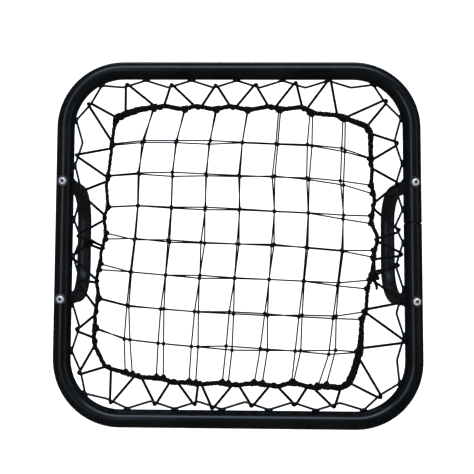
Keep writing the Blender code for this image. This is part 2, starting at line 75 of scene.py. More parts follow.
# Sizes shared with the CAD model, which its boxes don't give
CORNER_RADIUS = 0.080
JOINT_HEIGHT = 0.0275
ROD_DEPTH = 0.0110
ROD_TOUCH = ROD_RADIUS + 0.0002
LEFT_ROD_END = -0.021
RIGHT_ROD_END = 0.001
UPPER_FIRST_SPANS = (0.051, 0.0755)
UPPER_LAST_SPAN = 0.045
UPPER_EVEN_SPANS = 11
LOWER_SPANS = 13
NET_LINES = 7
GRIP_THICKNESS = 0.022
GRIP_DEPTH = GRIP_HIGH.y - GRIP_THICKNESS / 2
HOLE_PITCH = GRIP_HIGH.z - GRIP_LOW.z - GRIP_THICKNESS
HANDLE_BEND = 0.046
INNER_SIDE = RAIL - TUBE_RADIUS
INNER_CORNER = CORNER_RADIUS - TUBE_RADIUS

# Sizes of the finer pieces here, which are not the CAD model's own
ROD_BEND = 0.0013
CORD_RADIUS = 0.0019
TWINE_RADIUS = 0.0011

# The places below were measured and written in by a script. They differ by some millimetres from the CAD
# model's lacing, rope and net.

# The lacing, clockwise from above the left handle's foot, in millimetres from the middle of the frame.
# A row holds where the cord leaves the front of the border rope, where it hooks over the zigzag rod, and
# where it comes back behind the rope. It then goes round the net side of the rope to the next row.
LACES = [
    ((-174, 138), (-203, 189), (-168, 174)),
    ((-157, 183), (-152, 214), (-113, 189)),
    ((-102, 190), (-92, 219), (-59, 190)),
    ((-50, 190), (-31, 218), (-10, 190)),
    ((-2, 190), (26, 221), (43, 190)),
    ((52, 190), (80, 221), (90, 189)),
    ((96, 187), (127, 225), (138, 178)),
    ((148, 174), (200, 193), (183, 164)),
    ((185, 150), (217, 137), (185, 114)),
    ((187, 102), (215, 81), (188, 55)),
    ((188, 46), (221, 19), (190, 7)),
    ((191, 2), (220, -15), (186, -22)),
    ((185, -23), (217, -30), (182, -39)),
    ((186, -50), (214, -77), (174, -90)),
    ((174, -94), (218, -131), (167, -143)),
    ((167, -155), (190, -205), (154, -193)),
    ((139, -197), (130, -221), (102, -197)),
    ((93, -197), (75, -221), (54, -196)),
    ((43, -196), (19, -219), (2, -195)),
    ((-7, -195), (-34, -223), (-49, -195)),
    ((-53, -195), (-56, -222), (-81, -192)),
    ((-91, -192), (-111, -217), (-131, -186)),
    ((-139, -184), (-170, -215), (-172, -174)),
    ((-179, -170), (-213, -177), (-194, -140)),
    ((-197, -130), (-220, -118), (-197, -99)),
    ((-195, -89), (-219, -54), (-193, -56)),
    ((-193, -51), (-226, -20), (-183, -11)),
    ((-183, -6), (-219, 8), (-184, 30)),
    ((-183, 37), (-215, 68), (-180, 84)),
    ((-181, 89), (-222, 120), (-175, 130)),
]

# The border rope's route, clockwise from the top left corner, in millimetres from the middle of the frame
ROPE_ROUTE = [
    (-168, 173), (-136, 184), (-114, 187), (-102, 189), (-76, 184), (-58, 189), (-32, 184),
    (-10, 189), (14, 183), (44, 189), (59, 184), (89, 188), (102, 179), (138, 176),
    (148, 172), (176, 161), (182, 154), (182, 135), (182, 114), (184, 103), (182, 80),
    (187, 58), (181, 29), (190, 10), (190, 1), (185, -11), (185, -23), (181, -46),
    (176, -61), (174, -90), (168, -103), (167, -128), (165, -145), (156, -176), (148, -191),
    (138, -195), (118, -192), (101, -195), (74, -188), (54, -194), (25, -189), (-3, -193),
    (-22, -189), (-49, -192), (-65, -189), (-87, -190), (-100, -184), (-131, -183), (-148, -178),
    (-171, -172), (-179, -169), (-193, -142), (-195, -131), (-193, -115), (-194, -100), (-189, -73),
    (-193, -52), (-187, -28), (-187, -14), (-180, 9), (-184, 34), (-178, 47), (-181, 78),
    (-177, 103), (-174, 134), (-172, 155),
]
UPPER_CORD_FIRST = 27
LOWER_CORD_FIRST = 12
LEFT_KNOT = (-205, -3, -2)
RIGHT_KNOT = (184, -44, -9)
LEFT_TAIL = [(-206, 2, -8), (-202, 3, -10), (-197, 1, -11), (-191, -3, -11)]
RIGHT_TAIL = [(184, -47, -10), (184, -53, -10), (186, -58, -10), (186, -63, -9)]
HOOK_ADVANCE = 0.005

# How thick the rope is at each wrap, as a radius in millimetres. It is bound thickest at three corners.
ROPE_WIDTHS = (2.4, 4.8, 3.5, 3.3, 3.3, 3.3, 3.4, 3.5, 4.0, 2.8, 2.7, 2.7, 2.7, 2.6, 2.7)
ROPE_WIDTHS += (4.9, 4.0, 3.5, 3.3, 3.3, 3.3, 3.4, 3.3, 3.0, 3.2, 2.8, 2.5, 2.4, 2.4, 2.4)

# More places where the rope's thickness changes, with its radius there: the whipping at three corners
ROPE_WHIPPING = (((-172, 159), 2.6), ((-168, 168), 5.3), ((-150, 180), 5.2), ((-128, 185), 4.0))
ROPE_WHIPPING += (((178, 162), 4.4), ((183, 150), 4.2))
ROPE_WHIPPING += (((160, -177), 5.2), ((153, -190), 5.2), ((132, -196), 4.4))

# The nets' knots by row from the top, and where their lines end on the rope, in millimetres from the
# middle of the frame. The back net has slipped behind the front one.
FRONT_KNOTS = (
    ((-129, 140), (-84, 140), (-38, 140), (6, 138), (52, 136), (95, 135), (142, 130)),
    ((-137, 95), (-90, 96), (-44, 94), (1, 92), (47, 90), (94, 89), (140, 85)),
    ((-137, 50), (-91, 48), (-44, 48), (3, 46), (50, 43), (96, 41), (144, 38)),
    ((-141, 3), (-95, 3), (-50, 0), (-1, -2), (46, -4), (93, -6), (141, -10)),
    ((-146, -41), (-98, -45), (-51, -45), (-4, -48), (43, -50), (89, -52), (135, -58)),
    ((-150, -86), (-104, -91), (-58, -94), (-11, -94), (37, -96), (83, -100), (129, -102)),
    ((-153, -132), (-107, -137), (-62, -141), (-15, -140), (31, -143), (78, -146), (123, -150)),
)
BACK_KNOTS = (
    ((-133, 138), (-86, 138), (-40, 136), (6, 138), (55, 136), (102, 134), (147, 126)),
    ((-136, 94), (-90, 91), (-43, 92), (3, 91), (51, 92), (98, 87), (145, 80)),
    ((-137, 50), (-91, 47), (-45, 45), (2, 45), (50, 43), (97, 41), (144, 33)),
    ((-140, 5), (-93, 0), (-45, -1), (2, -2), (50, -2), (96, -7), (144, -11)),
    ((-145, -41), (-98, -45), (-52, -49), (-4, -49), (43, -50), (91, -52), (138, -54)),
    ((-148, -88), (-100, -91), (-53, -95), (-5, -97), (41, -99), (88, -98), (134, -99)),
    ((-146, -133), (-100, -138), (-53, -142), (-7, -146), (41, -146), (86, -146), (133, -145)),
)
FRONT_ENDS = {
    "top": (-117, -74, -31, 13, 56, 99, 144),
    "bottom": (-151, -109, -65, -20, 23, 73, 108),
    "left": (135, 91, 48, 12, -30, -76, -116),
    "right": (116, 79, 37, -10, -62, -103, -147),
}
BACK_ENDS = {
    "top": (-116, -73, -29, 14, 59, 103, 148),
    "bottom": (-142, -100, -56, -12, 34, 76, 120),
    "left": (134, 91, 48, 4, -38, -78, -119),
    "right": (116, 68, 27, -19, -50, -93, -147),
}


def from_middle(x, z, y=0.0):
    return Vector((x * MM, y * MM, FRAME_CENTRE.z + z * MM))


# Paths


def turn_clockwise(vector, quarters):
    x, z = vector.x, vector.z
    for _ in range(quarters):
        x, z = z, -x
    return Vector((x, vector.y, z))


def side_length():
    return 2 * (RAIL - CORNER_RADIUS) + INNER_CORNER * math.pi / 2


def round_frame(distance, inset):
    """A point inset from the tube's inner side, at a distance clockwise from the left rail's middle."""
    half = RAIL - CORNER_RADIUS
    quarter, along = divmod(distance + half, side_length())
    if along <= 2 * half:
        local = Vector((inset - INNER_SIDE, 0, along - half))
    else:
        angle = (along - 2 * half) / INNER_CORNER
        outward = Vector((-math.cos(angle), 0, math.sin(angle)))
        local = Vector((-half, 0, half)) + outward * (INNER_CORNER - inset)
    return turn_clockwise(local, int(quarter) % 4) + UP * FRAME_CENTRE.z


def spaced(points, step, closed=False):
    """Points evenly spaced along straight runs between the given ones."""
    line = np.array([tuple(point) for point in points], float)
    if closed:
        line = np.vstack([line, line[:1]])
    lengths = np.linalg.norm(np.diff(line, axis=0), axis=1)
    reach = np.concatenate([[0], np.cumsum(lengths)])
    count = max(2, int(round(reach[-1] / step)) + 1)
    marks = np.linspace(0, reach[-1], count)
    even = np.stack([np.interp(marks, reach, line[:, axis]) for axis in range(3)], axis=1)
    return even[:-1] if closed else even


def softened(line, passes, closed=False):
    """The same points with their bends eased, the ends kept."""
    line = line.copy()
    for _ in range(passes):
        before, after = np.roll(line, 1, axis=0), np.roll(line, -1, axis=0)
        eased = (before + 2 * line + after) / 4
        if not closed:
            eased[0], eased[-1] = line[0], line[-1]
        line = eased
    return line


def curved(points, closed=False, steps=8):
    """Points on a smooth curve through the given ones."""
    points = [Vector(point) for point in points]
    count = len(points)
    smooth = []
    for number in range(count if closed else count - 1):
        near = []
        for shift in (-1, 0, 1, 2):
            place = number + shift
            near.append(points[place % count] if closed else points[min(max(place, 0), count - 1)])
        before, start, end, after = near
        for step in range(steps):
            t = step / steps
            bend = (end - before) * t + (before * 2 - start * 5 + end * 4 - after) * t**2
            bend += (start * 3 - before - end * 3 + after) * t**3
            smooth.append(start + bend / 2)
    if not closed:
        smooth.append(points[-1])
    return smooth


def nearest_on(path, point):
    """How far a point is from a path, the nearest point on it and the path's direction there."""
    best = None
    for start, end in zip(path, path[1:]):
        run = end - start
        share = min(max((point - start).dot(run) / run.length_squared, 0), 1)
        foot = start + run * share
        miss = (foot - point).length
        if best is None or miss < best[0]:
            best = (miss, foot, run.normalized())
    return best


def outward_from(direction):
    return Vector((-direction.z, 0, direction.x))


# Meshes


def finish_object(name, mesh, material, sharp=40):
    piece = bpy.data.objects.new(name, mesh)
    bpy.context.scene.collection.objects.link(piece)
    mesh.shade_smooth()
    mesh.set_sharp_from_angle(angle=math.radians(sharp))
    mesh.materials.append(material)
    return piece


def mesh_from(name, bm):
    bmesh.ops.recalc_face_normals(bm, faces=bm.faces)
    mesh = bpy.data.meshes.new(name)
    bm.to_mesh(mesh)
    bm.free()
    return mesh


def ring_frames(line, closed):
    """Two directions square to the path at each point, carried along without twist."""
    ahead, behind = np.roll(line, -1, axis=0), np.roll(line, 1, axis=0)
    if not closed:
        ahead[-1], behind[0] = line[-1], line[0]
    tangents = ahead - behind
    tangents /= np.linalg.norm(tangents, axis=1)[:, None]
    start = np.array([0.0, 1.0, 0.0])
    if abs(start @ tangents[0]) > 0.9:
        start = np.array([1.0, 0.0, 0.0])
    first = []
    carried = start
    for tangent in tangents:
        carried = carried - tangent * (carried @ tangent)
        carried = carried / np.linalg.norm(carried)
        first.append(carried)
    first = np.array(first)
    if closed:
        ending = first[-1] - tangents[0] * (first[-1] @ tangents[0])
        ending /= np.linalg.norm(ending)
        twist = math.atan2(np.cross(first[0], ending) @ tangents[0], first[0] @ ending)
        angles = -twist * np.arange(len(line)) / len(line)
        second = np.cross(tangents, first)
        first = first * np.cos(angles)[:, None] + second * np.sin(angles)[:, None]
    return first, np.cross(tangents, first)


def sweep(name, line, radius, sides, closed=False, shape=None):
    """A round bar along a path. shape(length, angle) gives its radius. UVs hold turns and millimetres."""
    count = len(line)
    first, second = ring_frames(line, closed)
    steps = np.linalg.norm(np.diff(line, axis=0, append=line[:1]), axis=1)
    reach = np.concatenate([[0], np.cumsum(steps)])
    angles = TURN * np.arange(sides) / sides
    lengths = np.repeat(reach[:count, None], sides, axis=1)
    around = np.repeat(angles[None, :], count, axis=0)
    size = shape(lengths, around) if shape else np.full((count, sides), radius)
    offsets = first[:, None, :] * np.cos(around)[:, :, None] + second[:, None, :] * np.sin(around)[:, :, None]
    verts = (line[:, None, :] + offsets * size[:, :, None]).reshape(-1, 3)

    faces, uvs = [], []
    for ring in range(count if closed else count - 1):
        following = (ring + 1) % count
        low, high = reach[ring] / MM, reach[ring + 1] / MM
        for side in range(sides):
            beside = (side + 1) % sides
            start, end = ring * sides, following * sides
            faces.append((start + side, start + beside, end + beside, end + side))
            left, right = side / sides, (side + 1) / sides
            uvs += [(left, low), (right, low), (right, high), (left, high)]
    if not closed:
        for ring, order in ((0, -1), (count - 1, 1)):
            cap = [ring * sides + side for side in range(sides)][::order]
            faces.append(cap)
            uvs += [(0.5, reach[ring] / MM)] * sides
    mesh = bpy.data.meshes.new(name)
    mesh.from_pydata(verts.tolist(), [], faces)
    layer = mesh.uv_layers.new(name="UVMap")
    layer.data.foreach_set("uv", np.array(uvs, np.float32).ravel())
    mesh.update()
    return mesh


def joined(name, meshes):
    """One mesh that holds several, each still a body of its own."""
    bm = bmesh.new()
    for mesh in meshes:
        bm.from_mesh(mesh)
        bpy.data.meshes.remove(mesh)
    mesh = bpy.data.meshes.new(name)
    bm.to_mesh(mesh)
    bm.free()
    return mesh


def rounded_ends(line, radius, share=1.0):
    """Widths along an open bar that close its two ends like a worn cut end."""
    reach = np.concatenate([[0], np.cumsum(np.linalg.norm(np.diff(line, axis=0), axis=1))])
    inner = np.minimum(reach, reach[-1] - reach) / (radius * share)
    return np.sqrt(np.clip(1 - (1 - np.clip(inner, 0.02, 1)) ** 2, 0, 1))


# Materials


class Nodes:
    """A material's node tree, with short ways to add what the finishes below share."""

    def __init__(self, name, colour, roughness, metallic=0.0):
        self.material = bpy.data.materials.new(name)
        self.material.use_nodes = True
        self.tree = self.material.node_tree
        self.shader = self.tree.nodes["Principled BSDF"]
        self.shader.inputs["Base Color"].default_value = (*colour, 1.0)
        self.shader.inputs["Roughness"].default_value = roughness
        self.shader.inputs["Metallic"].default_value = metallic

    def add(self, kind, **settings):
        node = self.tree.nodes.new(kind)
        for key, value in settings.items():
            setattr(node, key, value)
        return node

    def link(self, output, socket):
        self.tree.links.new(output, socket)

    def place(self, kind="Object"):
        return self.add("ShaderNodeTexCoord").outputs[kind]

    def noise(self, scale, detail=3.0, rough=0.5, vector=None):
        node = self.add("ShaderNodeTexNoise")
        node.inputs["Scale"].default_value = scale
        node.inputs["Detail"].default_value = detail
        node.inputs["Roughness"].default_value = rough
        self.link(vector or self.place(), node.inputs["Vector"])
        return node.outputs["Fac"]

    def math(self, operation, first, second=None, clamp=False):
        node = self.add("ShaderNodeMath", operation=operation, use_clamp=clamp)
        for socket, value in zip(node.inputs, (first, second)):
            if value is None:
                continue
            if isinstance(value, (int, float)):
                socket.default_value = value
            else:
                self.link(value, socket)
        return node.outputs["Value"]

    def ramp(self, value, stops):
        """Colours or grey levels at places from 0 to 1."""
        node = self.add("ShaderNodeValToRGB")
        elements = node.color_ramp.elements
        while len(elements) < len(stops):
            elements.new(0.5)
        for element, (place, colour) in zip(elements, stops):
            element.position = place
            element.color = (*colour, 1.0) if isinstance(colour, tuple) else (colour, colour, colour, 1.0)
        self.link(value, node.inputs["Fac"])
        return node.outputs["Color"]

    def colour(self, value, stops):
        self.link(self.ramp(value, stops), self.shader.inputs["Base Color"])

    def roughness(self, value, low, high):
        self.link(self.ramp(value, [(0.3, low), (0.7, high)]), self.shader.inputs["Roughness"])

    def bump(self, height, distance, strength=1.0, under=None):
        node = self.add("ShaderNodeBump")
        node.inputs["Strength"].default_value = strength
        node.inputs["Distance"].default_value = distance
        self.link(height, node.inputs["Height"])
        if under:
            self.link(under, node.inputs["Normal"])
        self.link(node.outputs["Normal"], self.shader.inputs["Normal"])
        return node.outputs["Normal"]


def half_wave(nodes, value):
    return nodes.math("ADD", nodes.math("MULTIPLY", value, 0.5), 0.5)


def lay(nodes, starts, pitch):
    """From 0 to 1, the height of twisted strands. A negative pitch turns them the other way."""
    split = nodes.add("ShaderNodeSeparateXYZ")
    nodes.link(nodes.place("UV"), split.inputs["Vector"])
    turns = nodes.math("MULTIPLY", split.outputs["X"], float(starts))
    along = nodes.math("MULTIPLY", split.outputs["Y"], starts / pitch)
    phase = nodes.math("MULTIPLY", nodes.math("ADD", turns, along), TURN)
    return half_wave(nodes, nodes.math("SINE", phase))


def powder_coat(name, gloss=(0.24, 0.33)):
    nodes = Nodes(name, (0.0020, 0.0025, 0.0034), 0.3)
    patches = nodes.noise(26.0, 4.0, 0.55)
    nodes.colour(patches, [(0.32, (0.0012, 0.0015, 0.0020)), (0.72, (0.0030, 0.0038, 0.0052))])
    peel = nodes.noise(620.0, 2.0, 0.5)
    rubbed = nodes.noise(95.0, 6.0, 0.7)
    half_patches, half_rubbed = nodes.math("MULTIPLY", patches, 0.5), nodes.math("MULTIPLY", rubbed, 0.5)
    nodes.roughness(nodes.math("ADD", half_patches, half_rubbed), *gloss)
    nodes.bump(peel, 0.00010, 0.35)
    nodes.shader.inputs["Specular IOR Level"].default_value = 0.42
    nodes.shader.inputs["Coat Weight"].default_value = 0.12
    nodes.shader.inputs["Coat Roughness"].default_value = 0.12
    return nodes.material


def tinted(colour, share):
    return tuple(part * share for part in colour)


def bare_metal(name, colour, low, high, metallic=1.0):
    nodes = Nodes(name, colour, low, metallic)
    dull = nodes.noise(420.0, 5.0, 0.65)
    nodes.roughness(dull, low, high)
    nodes.colour(dull, [(0.25, tinted(colour, 0.82)), (0.75, colour)])
    nodes.bump(nodes.noise(2600.0, 2.0, 0.5), 0.00002, 0.3)
    return nodes.material


def moulded(name, colour, low, high, grain):
    nodes = Nodes(name, colour, low)
    patches = nodes.noise(34.0, 4.0, 0.6)
    nodes.colour(patches, [(0.3, tinted(colour, 0.7)), (0.75, tinted(colour, 1.35))])
    nodes.roughness(patches, low, high)
    cells = nodes.add("ShaderNodeTexVoronoi", feature="SMOOTH_F1")
    cells.inputs["Scale"].default_value = grain
    nodes.link(nodes.place(), cells.inputs["Vector"])
    fine = nodes.bump(cells.outputs["Distance"], 0.00012, 0.35)
    nodes.bump(nodes.noise(150.0, 3.0), 0.0002, 0.2, under=fine)
    return nodes.material


def braided(name, colour, starts, pitch, depth):
    """A woven cover: two lays crossing, each strand over one and under one."""
    nodes = Nodes(name, colour, 0.72)
    right, left = lay(nodes, starts, pitch), lay(nodes, starts, -pitch)
    weave = nodes.math("MAXIMUM", right, left)
    gaps = nodes.math("MULTIPLY", right, left)
    fluff = nodes.noise(1400.0, 4.0, 0.7)
    # The colour follows the strands' height times the fluff: painted shade in the gaps between strands and a
    # painted highlight on their crowns, with random fibre tone from the fluff.
    nodes.colour(
        nodes.math("MULTIPLY", weave, fluff),
        [(0.08, tinted(colour, 0.3)), (0.5, colour), (0.85, tinted(colour, 2.2))],
    )
    nodes.roughness(fluff, 0.62, 0.86)
    woven = nodes.bump(nodes.math("SUBTRACT", weave, nodes.math("MULTIPLY", gaps, 0.5)), depth, 0.8)
    nodes.bump(fluff, 0.0001, 0.4, under=woven)
    nodes.shader.inputs["Sheen Weight"].default_value = 0.03
    nodes.shader.inputs["Sheen Roughness"].default_value = 0.4
    nodes.shader.inputs["Specular IOR Level"].default_value = 0.2
    return nodes.material


def twisted(name, colour, starts, pitch, depth):
    """Twine or rope laid from strands, with loose fibres."""
    nodes = Nodes(name, colour, 0.8)
    strands = lay(nodes, starts, pitch)
    fibres = lay(nodes, starts * 5, -pitch * 0.7)
    fluff = nodes.noise(900.0, 5.0, 0.75)
    # The colour follows the strands' height times the fluff: painted shade in the grooves between strands and
    # a painted highlight on their crowns, with random fibre tone from the fluff.
    nodes.colour(
        nodes.math("MULTIPLY", strands, fluff),
        [(0.05, tinted(colour, 0.3)), (0.45, colour), (0.8, tinted(colour, 2.4))],
    )
    nodes.roughness(fluff, 0.7, 0.92)
    laid = nodes.bump(strands, depth, 0.8)
    combed = nodes.bump(fibres, depth * 0.3, 0.5, under=laid)
    nodes.bump(fluff, 0.0002, 0.5, under=combed)
    nodes.shader.inputs["Sheen Weight"].default_value = 0.02
    nodes.shader.inputs["Sheen Roughness"].default_value = 0.5
    nodes.shader.inputs["Specular IOR Level"].default_value = 0.18
    return nodes.material


# Frame


def frame_line():
    """The tube's centre line, clockwise from its joint in the right rail."""
    half = RAIL - CORNER_RADIUS
    points = [Vector((RAIL, 0, JOINT_HEIGHT))]
    for corner in range(4):
        for step in range(25):
            angle = math.pi / 2 * step / 24
            outward = turn_clockwise(Vector((math.cos(angle), 0, -math.sin(angle))), corner)
            middle = turn_clockwise(Vector((half, 0, -half)), corner)
            points.append(middle + outward * CORNER_RADIUS)
    return [point + UP * FRAME_CENTRE.z for point in points]


def make_tube(material):
    """The tube as one ring, with the groove of its butt joint where the ring starts."""
    line = spaced(frame_line(), 0.0035, closed=True)
    joint = np.array(frame_line()[0])
    fine = [joint + np.array([0, 0, height * MM]) for height in (-1.6, -0.9, -0.5, 0, 0.5, 0.9, 1.6)]
    line = line[np.linalg.norm(line - joint, axis=1) > 0.003]
    line = np.vstack([line, fine[::-1]])
    depths = {0.0: 0.0013, 0.5: 0.0012, 0.9: 0.0002}
    dips = np.zeros(len(line))
    for number, point in enumerate(line):
        height = round(abs(point[2] - joint[2]) / MM, 1)
        if np.linalg.norm(point - joint) < 0.002:
            dips[number] = depths.get(height, 0.0)

    def shape(_, around):
        return TUBE_RADIUS - np.repeat(dips[:, None], around.shape[1], axis=1)

    mesh = sweep("frame_tube_finish", line, TUBE_RADIUS, 56, closed=True, shape=shape)
    tube = finish_object("frame_tube_finish", mesh, material, sharp=60)
    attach(tube, "frame")
    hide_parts("frame_tube")


def weld_distances(start, end, first_spans, last_spans, even_spans):
    even = (end - start - sum(first_spans) - sum(last_spans)) / even_spans
    spans = [*first_spans, *[even] * even_spans, *last_spans]
    return [start + sum(spans[:number]) for number in range(len(spans) + 1)]


def rod_welds():
    left_end = LEFT_ROD_END
    right_end = 2 * side_length() - RIGHT_ROD_END
    round_again = 4 * side_length() + LEFT_ROD_END
    upper = weld_distances(left_end, right_end, UPPER_FIRST_SPANS, [UPPER_LAST_SPAN], UPPER_EVEN_SPANS)
    lower = weld_distances(right_end, round_again, [], [], LOWER_SPANS)
    return upper, lower


def rod_path(welds):
    path = []
    for weld, following in zip(welds, welds[1:]):
        middle = (weld + following) / 2
        path.append(round_frame(weld + ROD_BEND, ROD_TOUCH))
        path.append(round_frame(middle - ROD_BEND, ROD_DEPTH))
        path.append(round_frame(middle + ROD_BEND, ROD_DEPTH))
        path.append(round_frame(following - ROD_BEND, ROD_TOUCH))
    return path


def weld_bead(distance, lean):
    """A lump of weld that has run along both sides of the rod where it touches the tube."""
    place = round_frame(distance, ROD_TOUCH * 0.75)
    ahead = round_frame(distance + MM, ROD_TOUCH * 0.75) - place
    along = ahead.normalized()
    across = outward_from(along)
    bm = bmesh.new()
    bmesh.ops.create_icosphere(bm, subdivisions=3, radius=1.0)
    for vert in bm.verts:
        spot = vert.co * 2.2 + Vector((lean * 7, 0, 0))
        ripple = 1 + 0.12 * math.sin(vert.co.x * 9 + lean * 5) + 0.10 * noise.noise(spot)
        local = vert.co * ripple
        vert.co = place + along * local.x * 0.0054 + across * local.z * 0.0023 + BACK * local.y * 0.0034
    return mesh_from("bead", bm)


def make_rods(material, weld_material):
    for name, welds in zip(("upper", "lower"), rod_welds()):
        line = softened(spaced(rod_path(welds), 0.0008), 3)
        rod = finish_object(f"{name}_rod_finish", sweep("rod", line, ROD_RADIUS, 14), material)
        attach(rod, "frame")
        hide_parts(f"{name}_zigzag_rod")
        beads = [weld_bead(weld, number) for number, weld in enumerate(welds)]
        bead = finish_object(f"{name}_weld_beads", joined("beads", beads), weld_material)
        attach(bead, "frame")


# Net bed


def wrap_ends(row):
    """Where the cord reaches the back of the rope before a row, and where it leaves the front."""
    _, _, back = LACES[(row - 1) % len(LACES)]
    front, _, _ = LACES[row % len(LACES)]
    return from_middle(*back), from_middle(*front)


def rope_widths(line):
    """The rope's radius at each point, from the places of the lacing's wraps beside it."""
    marks = [np.array(sum(wrap_ends(row), Vector()) / 2) for row in range(len(LACES))]
    marks += [np.array(from_middle(*place)) for place, _ in ROPE_WHIPPING]
    sizes = [*ROPE_WIDTHS, *[size for _, size in ROPE_WHIPPING]]
    nearest = [int(np.argmin(np.linalg.norm(line - mark, axis=1))) for mark in marks]
    return np.interp(np.arange(len(line)), nearest, np.array(sizes) * MM, period=len(line))


def make_rope(line, material):
    """A laid rope, bound round with net twine, and thicker where its ends and corners are whipped."""
    widths = rope_widths(line)[:, None]

    def lumpy(lengths, around):
        strands = 0.00045 * np.abs(np.sin(1.5 * (around - lengths * TURN / 0.026)))
        binding = 0.00030 * np.maximum(0, np.sin(around + lengths * TURN / 0.0034))
        rough = np.empty_like(lengths)
        for place in np.ndindex(lengths.shape):
            angle, along = around[place], lengths[place]
            spot = Vector((math.cos(angle) * 1.6, math.sin(angle) * 1.6, along * 520))
            rough[place] = noise.noise(spot) + 0.6 * noise.noise(spot * 2.7)
        return widths * (0.94 + 0.15 * rough) - 0.0003 + strands + binding + 0.0002 * rough

    mesh = sweep("border_rope_finish", line, ROPE_RADIUS, 22, closed=True, shape=lumpy)
    rope = finish_object("border_rope_finish", mesh, material, sharp=80)
    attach(rope, "net_bed")
    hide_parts("border_rope")


def rope_place(side, along, rope):
    """The rope's centre on a side of the net, at a distance across or up in millimetres."""
    level = side in ("top", "bottom")
    crossing = []
    for start, end in zip(rope, rope[1:] + rope[:1]):
        low, high = (start.x, end.x) if level else (start.z - FRAME_CENTRE.z, end.z - FRAME_CENTRE.z)
        share = (along * MM - low) / (high - low) if high != low else -1
        if 0 <= share <= 1:
            crossing.append(start.lerp(end, share))
    crossing.sort(key=lambda point: point.z if level else -point.x)
    return crossing[-1] if side in ("top", "left") else crossing[0]


def net_knots(rows, ends, rope, layer):
    """Knots by row and column, with the places where the lines meet the rope as the first and last."""
    depth = BACK * layer
    knots = {}
    for row, places in enumerate(rows):
        for column, (across, up) in enumerate(places):
            knots[row, column] = from_middle(across, up) + depth
    for side, marks in ends.items():
        for line, mark in enumerate(marks):
            edge = {
                "top": (-1, line),
                "bottom": (NET_LINES, line),
                "left": (line, -1),
                "right": (line, NET_LINES),
            }
            knots[edge[side]] = rope_place(side, mark, rope) + depth
    return knots


def ring_of(place, first, second, reach, thick, sides=7, steps=12):
    """A closed turn of twine round a place, in the plane of two directions."""
    points = []
    for step in range(steps):
        angle = TURN * step / steps
        points.append(tuple(place + (first * math.cos(angle) + second * math.sin(angle)) * reach))
    return sweep("turn", np.array(points), thick, sides, closed=True)


def knot_lump(place, along, seed, size=1.3):
    """A tight netting knot: a core with turns of twine crossing round it."""
    side = along.cross(BACK).normalized()
    bm = bmesh.new()
    bmesh.ops.create_icosphere(bm, subdivisions=2, radius=TWINE_RADIUS * 1.75 * size)
    for vert in bm.verts:
        vert.co *= 1 + 0.14 * noise.noise(vert.co * 900 + Vector((seed * 3.1, 0, 0)))
        vert.co += place
    parts = [mesh_from("core", bm)]
    lean = math.radians(40) if seed % 2 else math.radians(-40)
    for tilt in (lean, -lean):
        axis = along * math.sin(tilt) + side * math.cos(tilt)
        parts.append(ring_of(place, axis, BACK, TWINE_RADIUS * 1.55 * size, TWINE_RADIUS * 0.85))
    return parts


def rope_hitch(place, inner, rope, width):
    """Twine bound round the rope where a net line ends, with the knot that holds it on the net side."""
    _, _, along = nearest_on(rope + rope[:1], place)
    outward = outward_from(along)
    if outward.dot(place - inner) < 0:
        outward = -outward
    reach = width + TWINE_RADIUS * 0.4
    points = []
    turns, steps = 3, 16
    for step in range(turns * steps + 1):
        angle = TURN * step / steps
        shift = along * ((step / steps - turns / 2) * 2.3 * TWINE_RADIUS)
        points.append(tuple(place + shift + (outward * math.cos(angle) + BACK * math.sin(angle)) * reach))
    knot = knot_lump(place - outward * reach, along, 1, 1.2)
    return [sweep("hitch", np.array(points), TWINE_RADIUS, 6), *knot]


def make_net(name, rows, ends, layer, rope, rope_line, material):
    knots = net_knots(rows, ends, rope, layer)
    widths = rope_widths(rope_line)
    parts = []
    for line in range(NET_LINES):
        upright = [knots[row, line] for row in range(-1, NET_LINES + 1)]
        level = [knots[line, column] for column in range(-1, NET_LINES + 1)]
        for route in (upright, level):
            parts.append(sweep("line", softened(spaced(route, 0.003), 2), TWINE_RADIUS, 8))
    for row in range(NET_LINES):
        for column in range(NET_LINES):
            along = (knots[row, column + 1] - knots[row, column - 1]).normalized()
            parts += knot_lump(knots[row, column], along, row + column)
    for place, knot in knots.items():
        if -1 in place or NET_LINES in place:
            inner = tuple(min(max(part, 0), NET_LINES - 1) for part in place)
            spot = Vector((knot.x, 0, knot.z))
            width = widths[int(np.argmin(np.linalg.norm(rope_line - np.array(spot), axis=1)))]
            parts += rope_hitch(spot, knots[inner], rope, width)
    net = finish_object(f"{name}_finish", joined(name, parts), material)
    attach(net, "net_bed")
    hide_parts(name)


# Lacing


def half_turn(middle, along, side, radius, advance, start_angle, end_angle, first=0.0, last=1.0):
    """Points of a cord passing round a bar on the given side, or part of the way from first to last."""
    points = []
    for step in range(13):
        share = first + (last - first) * step / 12
        angle = start_angle + (end_angle - start_angle) * share
        around = side * math.cos(angle) + BACK * math.sin(angle)
        points.append(middle + along * (advance * (share - 0.5)) + around * radius)
    return points


def wrap_rope(row, rope, first=0.0, last=1.0):
    """Round the net side of the rope, from the back to the front."""
    back, front = wrap_ends(row)
    _, middle, along = nearest_on(rope + rope[:1], (back + front) / 2)
    advance = (front - back).dot(along)
    radius = ROPE_WIDTHS[row % len(LACES)] * MM
    quarter = math.pi / 2
    return half_turn(middle, along, -outward_from(along), radius, advance, quarter, -quarter, first, last)


def hook_over_rod(row, rods):
    """Round the tube side of the nearer rod, from the front to the back."""
    point = from_middle(*LACES[row % len(LACES)][1])
    _, middle, along = min(nearest_on(rod, point) for rod in rods)
    quarter = math.pi / 2
    radius = ROD_RADIUS + CORD_RADIUS
    return half_turn(middle, along, outward_from(along), radius, HOOK_ADVANCE, -quarter, quarter)


